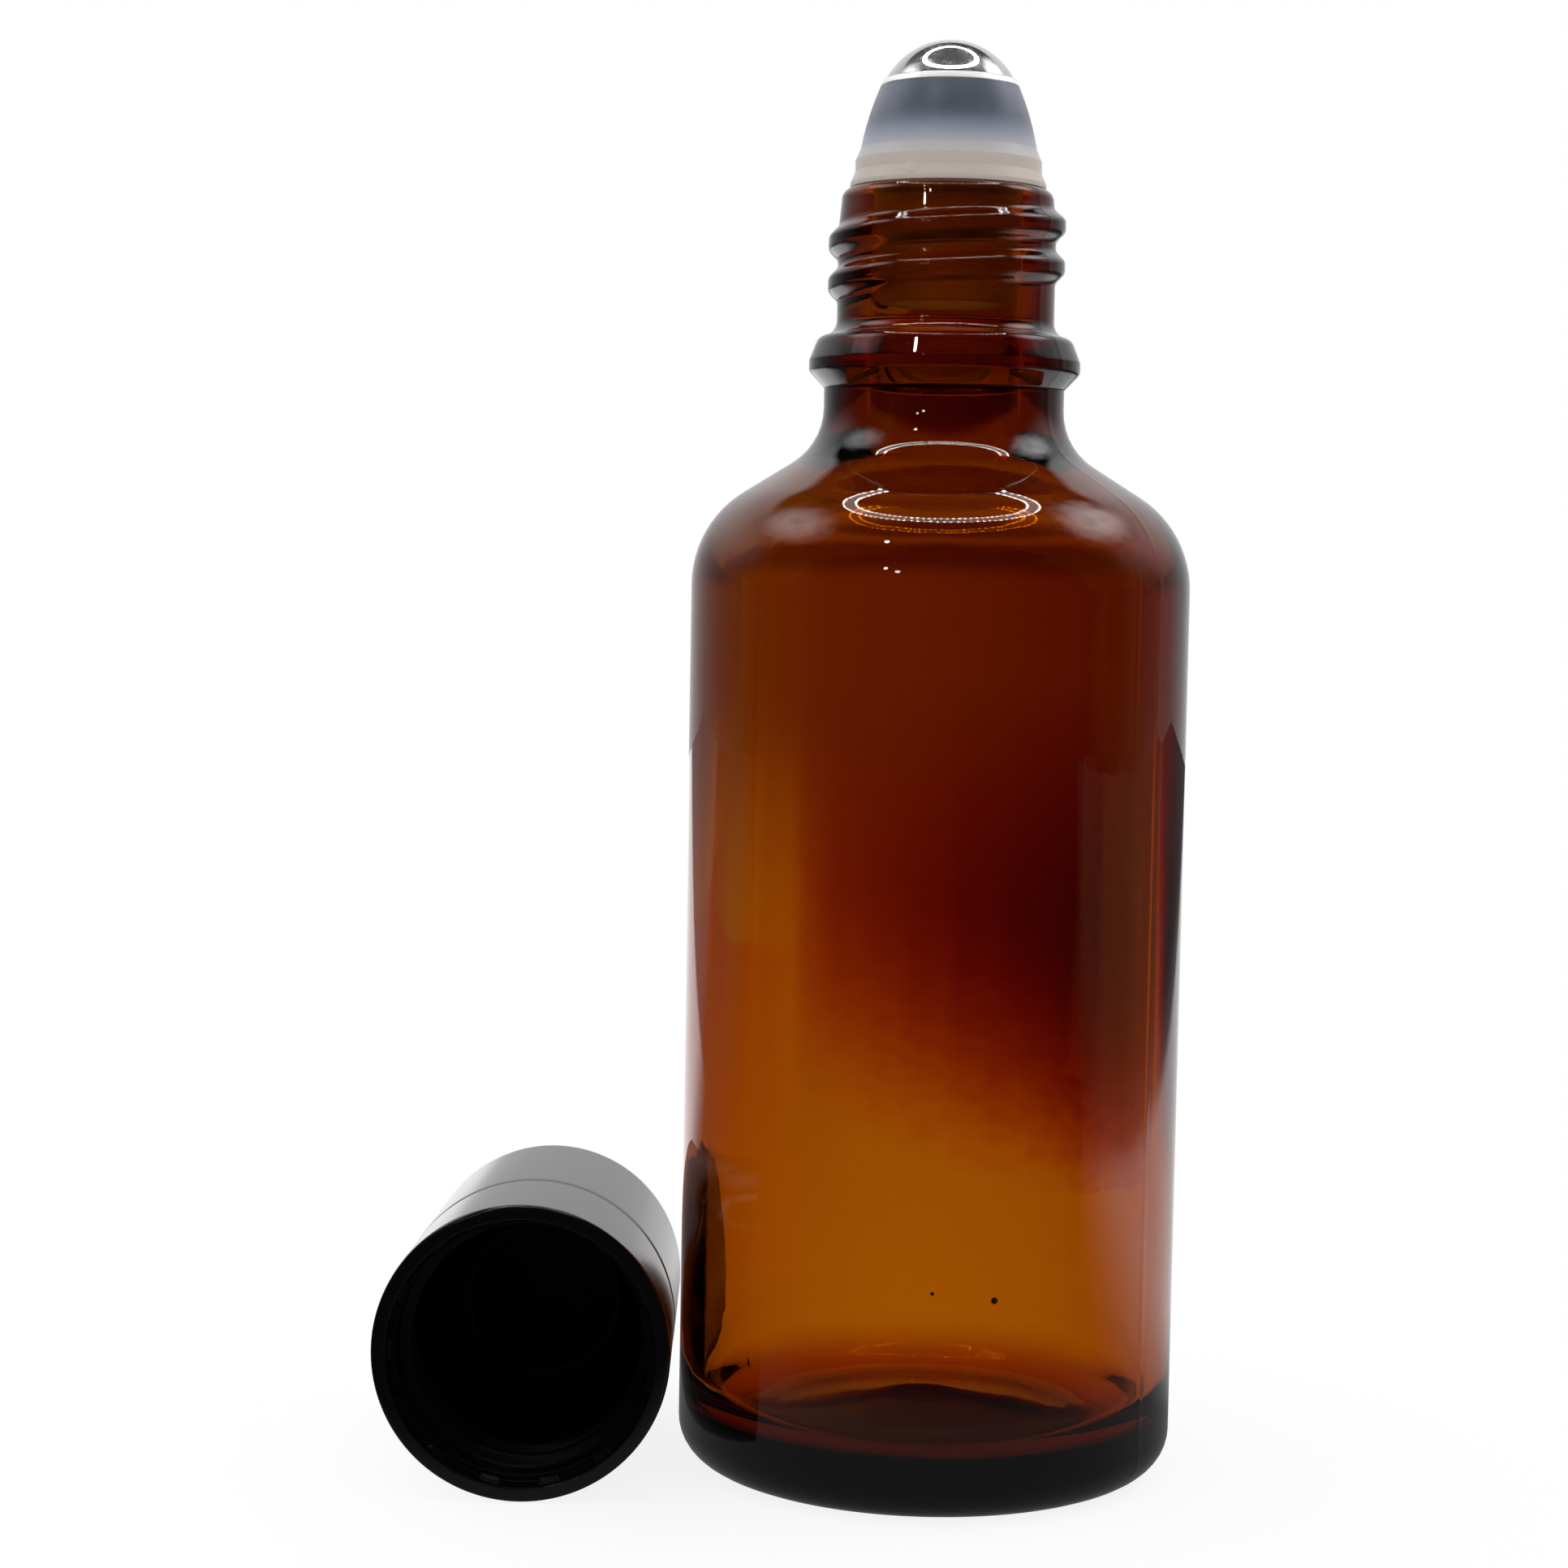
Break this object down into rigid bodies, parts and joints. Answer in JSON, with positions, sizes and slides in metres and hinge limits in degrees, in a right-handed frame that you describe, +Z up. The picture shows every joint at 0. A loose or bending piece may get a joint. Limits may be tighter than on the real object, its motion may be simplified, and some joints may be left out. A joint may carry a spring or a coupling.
{
  "type": "roll on bottle",
  "caption": "Amber glass roll-on bottle with a press-in ball housing, a steel ball in its socket and a black screw cap lying beside it, mouth forward.",
  "frame": {"origin": "on the bottle's axis, at the plane that its foot ring stands on", "axes": "+Z up along the bottle's axis to the ball; the cap lies on its side at -X with its mouth towards -Y, the front"},
  "size_m": [0.0579, 0.0366, 0.1047],
  "materials": {
    "amber_glass": "clear gloss, blown amber soda-lime glass",
    "natural_polyethylene": "milky, translucent, lightly satin",
    "polished_steel": "mirror polished",
    "black_plastic": "moulded gloss"
  },
  "bodies": {
    "bottle": {"glass_bottle": "amber_glass", "roller_housing": "natural_polyethylene"},
    "ball": {"roller_ball": "polished_steel"},
    "cap": {"screw_cap": "black_plastic"}
  },
  "joints": [
    {"name": "ball_roll", "type": "hinge", "parent": "bottle", "child": "ball", "pos_m": [0, 0, 0.0995], "axis": [1, 0, 0], "continuous": true},
    {"name": "cap_lift", "type": "slide", "parent": "bottle", "child": "cap", "axis": [0, 0, 1], "range_m": [0, 0.11]}
  ]
}
